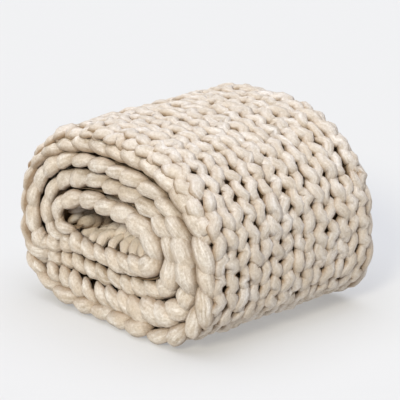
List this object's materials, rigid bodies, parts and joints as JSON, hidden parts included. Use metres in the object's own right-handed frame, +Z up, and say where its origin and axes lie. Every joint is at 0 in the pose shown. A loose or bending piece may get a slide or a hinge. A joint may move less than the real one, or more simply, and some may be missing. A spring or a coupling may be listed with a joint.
{
  "type": "rolled chunky knit throw",
  "caption": "Chunky knit throw in thick cream yarn, rolled up and lying on its side, with columns of V stitches running round the roll and chain edges winding in at both ends.",
  "frame": {"origin": "middle of the roll's footprint, on the surface that it lies on", "axes": "+X across the roll, +Y along the roll's axis, away from the end that the picture shows, +Z up"},
  "size_m": [0.3696, 0.312, 0.2609],
  "materials": {
    "yarn": "matte thick cream yarn, loosely spun, chunky stockinette knit"
  },
  "bodies": {
    "root": {"throw": "yarn"}
  },
  "joints": []
}
